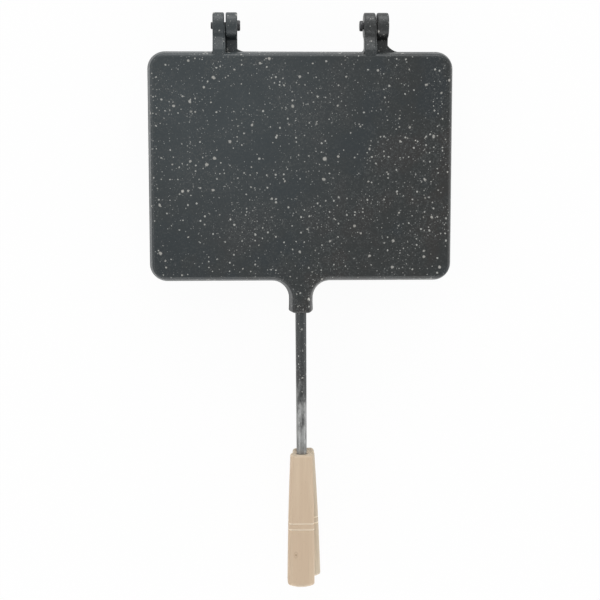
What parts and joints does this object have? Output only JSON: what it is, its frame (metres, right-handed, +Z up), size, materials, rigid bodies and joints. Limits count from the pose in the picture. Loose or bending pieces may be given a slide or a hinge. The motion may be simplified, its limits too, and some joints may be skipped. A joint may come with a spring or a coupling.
{
  "type": "pie iron",
  "caption": "Hinged double-sided pie iron: two shallow cast rectangular pans that close rim to rim, each on a steel rod with a tapered wooden handle.",
  "frame": {"origin": "centre of the lower half's flat outer face, which rests on the stove", "axes": "+X across the plate, +Y from the handles to the hinge, +Z up through the upper half"},
  "size_m": [0.2271, 0.4342, 0.0509],
  "materials": {
    "coated_casting": "satin",
    "rod_steel": "satin",
    "handle_wood": "matte",
    "pin_steel": "satin"
  },
  "bodies": {
    "lower_half": {"lower_plate": "coated_casting", "lower_rod": "rod_steel", "lower_handle": "handle_wood", "left_hinge_pin": "pin_steel"},
    "upper_half": {"upper_plate": "coated_casting", "upper_rod": "rod_steel", "upper_handle": "handle_wood", "right_hinge_pin": "pin_steel"}
  },
  "joints": [
    {"name": "hinge", "type": "hinge", "parent": "lower_half", "child": "upper_half", "pos_m": [0, 0.1041, 0.012], "axis": [-1, 0, 0], "range_deg": [0, 180]}
  ]
}
